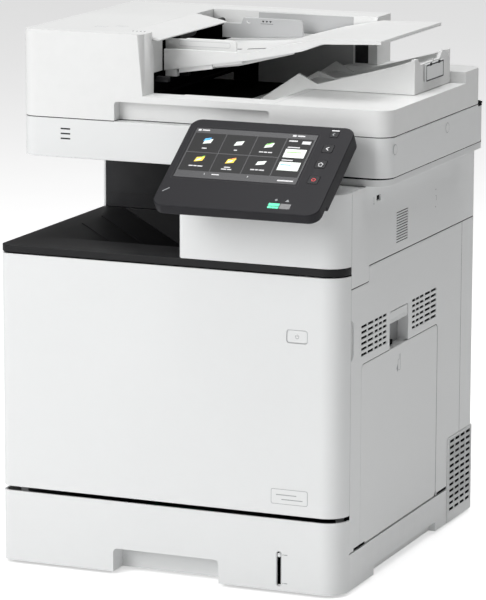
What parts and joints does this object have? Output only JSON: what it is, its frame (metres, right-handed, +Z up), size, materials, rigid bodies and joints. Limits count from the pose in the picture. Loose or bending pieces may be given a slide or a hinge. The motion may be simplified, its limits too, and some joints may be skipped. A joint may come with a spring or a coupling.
{
  "type": "photocopier",
  "caption": "Freestanding colour photocopier with a paper cassette, side feed tray, recessed output tray, tilting touch panel, flatbed scanner and sheet feeder that open on hinges",
  "frame": {"origin": "on the table, under the middle of the machine's overall box", "axes": "+Z up, -Y towards the person who uses it, +X to that person's right, the side with the sheet feed tray"},
  "size_m": [0.48, 0.556, 0.6525],
  "materials": {
    "white_shell": "fine-textured moulded plastic, satin",
    "grey_plastic": "fine-textured moulded plastic",
    "black_plastic": "fine-textured moulded plastic",
    "charcoal_plastic": "fine-textured moulded plastic, satin",
    "key_plastic": "smooth moulded plastic",
    "screen_glass": "glossy touch screen",
    "guide_green": "moulded plastic",
    "steel_sheet": "zinc-plated sheet",
    "roller_rubber": "ground rubber",
    "foot_rubber": "moulded rubber",
    "platen_glass": "clear float glass",
    "toner_yellow": "moulded plastic",
    "toner_magenta": "moulded plastic",
    "toner_cyan": "moulded plastic",
    "toner_black": "moulded plastic"
  },
  "bodies": {
    "chassis": {"base_frame": "white_shell", "left_cover": "white_shell", "rear_cover": "white_shell", "upper_right_cover": "white_shell", "right_rear_cover": "white_shell", "rear_vent_cover": "white_shell", "output_tray": "black_plastic", "back_wall": "charcoal_plastic", "control_tower": "white_shell", "scanner_support": "white_shell", "scanner_housing": "white_shell", "platen_glass": "platen_glass", "carriage_rail": "steel_sheet", "panel_bracket": "charcoal_plastic", "engine_frame": "steel_sheet", "toner_yellow": "toner_yellow", "toner_magenta": "toner_magenta", "toner_cyan": "toner_cyan", "toner_black": "toner_black", "laser_unit": "grey_plastic", "transfer_unit": "black_plastic", "fuser_housing": "steel_sheet", "power_inlet": "black_plastic", "adf_hinge_left": "steel_sheet", "adf_hinge_right": "steel_sheet", "foot_front_left": "foot_rubber", "foot_front_right": "foot_rubber", "foot_rear_left": "foot_rubber", "foot_rear_right": "foot_rubber"},
    "cassette": {"cassette_front": "white_shell", "cassette_tray": "grey_plastic"},
    "lift_plate": {"lift_plate": "steel_sheet"},
    "side_guide_front": {"side_guide_front": "guide_green"},
    "side_guide_rear": {"side_guide_rear": "guide_green"},
    "end_guide": {"end_guide": "guide_green"},
    "level_indicator": {"level_indicator": "white_shell"},
    "front_cover": {"front_cover": "white_shell"},
    "power_button": {"power_button": "white_shell"},
    "right_cover": {"right_cover": "white_shell"},
    "cover_latch": {"cover_latch": "white_shell"},
    "mp_tray": {"mp_tray": "white_shell"},
    "exit_roller": {"exit_roller": "roller_rubber"},
    "fuser_roller": {"fuser_roller": "roller_rubber"},
    "pickup_roller": {"pickup_roller": "roller_rubber"},
    "scan_carriage": {"scan_carriage": "black_plastic"},
    "operation_panel": {"panel_housing": "charcoal_plastic", "touch_screen": "screen_glass"},
    "stop_key": {"stop_key": "key_plastic"},
    "home_key": {"home_key": "key_plastic"},
    "back_key": {"back_key": "key_plastic"},
    "energy_key": {"energy_key": "key_plastic"},
    "document_feeder": {"adf_base": "white_shell", "document_output_tray": "white_shell"},
    "feeder_cover": {"feeder_cover": "white_shell"},
    "document_tray": {"document_tray": "white_shell"},
    "document_guide_front": {"document_guide_front": "white_shell"},
    "document_guide_rear": {"document_guide_rear": "white_shell"},
    "document_stopper": {"document_stopper": "white_shell"},
    "adf_pickup_roller": {"adf_pickup_roller": "roller_rubber"},
    "adf_feed_roller": {"adf_feed_roller": "roller_rubber"}
  },
  "joints": [
    {"name": "cassette_slide", "type": "slide", "parent": "chassis", "child": "cassette", "axis": [0, -1, 0], "range_m": [0, 0.34]},
    {"name": "lift_plate_hinge", "type": "hinge", "parent": "cassette", "child": "lift_plate", "pos_m": [0.00535, 0.042, 0.0174], "axis": [0, -1, 0], "range_deg": [0, 8]},
    {"name": "side_guide_front_slide", "type": "slide", "parent": "cassette", "child": "side_guide_front", "axis": [0, 1, 0], "range_m": [0, 0.03]},
    {"name": "side_guide_rear_slide", "type": "slide", "parent": "cassette", "child": "side_guide_rear", "axis": [0, 1, 0], "range_m": [-0.03, 0]},
    {"name": "end_guide_slide", "type": "slide", "parent": "cassette", "child": "end_guide", "axis": [1, 0, 0], "range_m": [-0.05, 0.09]},
    {"name": "level_indicator_slide", "type": "slide", "parent": "cassette", "child": "level_indicator", "axis": [0, 0, -1], "range_m": [0, 0.034]},
    {"name": "front_cover_hinge", "type": "hinge", "parent": "chassis", "child": "front_cover", "pos_m": [-0.01465, -0.191, 0.0975], "axis": [1, 0, 0], "range_deg": [0, 90]},
    {"name": "power_button_push", "type": "slide", "parent": "front_cover", "child": "power_button", "axis": [0, 1, 0], "range_m": [0, 0.0015], "stiffness_N_per_m": 400},
    {"name": "right_cover_hinge", "type": "hinge", "parent": "chassis", "child": "right_cover", "pos_m": [0.20685, 0.006, 0.053], "axis": [0, 1, 0], "range_deg": [0, 50]},
    {"name": "cover_latch_hinge", "type": "hinge", "parent": "right_cover", "child": "cover_latch", "pos_m": [0.20635, -0.003, 0.318], "axis": [0, -1, 0], "range_deg": [0, 25], "stiffness_Nm_per_rad": 0.2},
    {"name": "mp_tray_hinge", "type": "hinge", "parent": "right_cover", "child": "mp_tray", "pos_m": [0.20635, 0.004, 0.0531], "axis": [0, 1, 0], "range_deg": [0, 70]},
    {"name": "fuser_roller_spin", "type": "hinge", "parent": "chassis", "child": "fuser_roller", "pos_m": [0.15935, 0.05, 0.345], "axis": [0, 1, 0], "continuous": true},
    {"name": "exit_roller_spin", "type": "hinge", "parent": "chassis", "child": "exit_roller", "pos_m": [0.06935, 0.014, 0.44], "axis": [0, 1, 0], "continuous": true},
    {"name": "pickup_roller_spin", "type": "hinge", "parent": "chassis", "child": "pickup_roller", "pos_m": [0.16735, 0.042, 0.078], "axis": [0, 1, 0], "continuous": true},
    {"name": "carriage_slide", "type": "slide", "parent": "chassis", "child": "scan_carriage", "axis": [1, 0, 0], "range_m": [0, 0.38]},
    {"name": "panel_tilt", "type": "hinge", "parent": "chassis", "child": "operation_panel", "pos_m": [0.10285, -0.179, 0.503], "axis": [1, 0, 0], "range_deg": [-12, 20]},
    {"name": "stop_key_push", "type": "slide", "parent": "operation_panel", "child": "stop_key", "axis": [0, 0.5521, -0.8338], "range_m": [0, 0.001], "stiffness_N_per_m": 300},
    {"name": "home_key_push", "type": "slide", "parent": "operation_panel", "child": "home_key", "axis": [0, 0.5521, -0.8338], "range_m": [0, 0.001], "stiffness_N_per_m": 300},
    {"name": "back_key_push", "type": "slide", "parent": "operation_panel", "child": "back_key", "axis": [0, 0.5521, -0.8338], "range_m": [0, 0.001], "stiffness_N_per_m": 300},
    {"name": "energy_key_push", "type": "slide", "parent": "operation_panel", "child": "energy_key", "axis": [0, 0.5521, -0.8338], "range_m": [0, 0.001], "stiffness_N_per_m": 300},
    {"name": "feeder_hinge", "type": "hinge", "parent": "chassis", "child": "document_feeder", "pos_m": [0.00035, 0.226, 0.55], "axis": [-1, 0, 0], "range_deg": [0, 70]},
    {"name": "feeder_cover_hinge", "type": "hinge", "parent": "document_feeder", "child": "feeder_cover", "pos_m": [-0.23995, 0.046, 0.641], "axis": [0, -1, 0], "range_deg": [0, 70]},
    {"name": "document_tray_hinge", "type": "hinge", "parent": "document_feeder", "child": "document_tray", "pos_m": [-0.07465, 0.051, 0.634], "axis": [0, -1, 0], "range_deg": [0, 20]},
    {"name": "document_guide_front_slide", "type": "slide", "parent": "document_tray", "child": "document_guide_front", "axis": [0, 1, 0], "range_m": [0, 0.07]},
    {"name": "document_guide_rear_slide", "type": "slide", "parent": "document_tray", "child": "document_guide_rear", "axis": [0, 1, 0], "range_m": [-0.07, 0]},
    {"name": "document_stopper_hinge", "type": "hinge", "parent": "document_feeder", "child": "document_stopper", "pos_m": [0.22135, 0.076, 0.611], "axis": [0, -1, 0], "range_deg": [0, 100]},
    {"name": "adf_feed_roller_spin", "type": "hinge", "parent": "document_feeder", "child": "adf_feed_roller", "pos_m": [-0.13665, 0.0333, 0.633], "axis": [0, 1, 0], "continuous": true},
    {"name": "adf_pickup_roller_spin", "type": "hinge", "parent": "document_feeder", "child": "adf_pickup_roller", "pos_m": [-0.09465, 0.0333, 0.638], "axis": [0, 1, 0], "continuous": true}
  ],
  "couplings": [
    {"joint": "side_guide_rear_slide", "follows": "side_guide_front_slide", "ratio": -1},
    {"joint": "level_indicator_slide", "follows": "lift_plate_hinge", "m_per_rad": 0.243},
    {"joint": "exit_roller_spin", "follows": "fuser_roller_spin", "ratio": 1.875},
    {"joint": "document_guide_rear_slide", "follows": "document_guide_front_slide", "ratio": -1},
    {"joint": "adf_pickup_roller_spin", "follows": "adf_feed_roller_spin", "ratio": 1.3333}
  ]
}
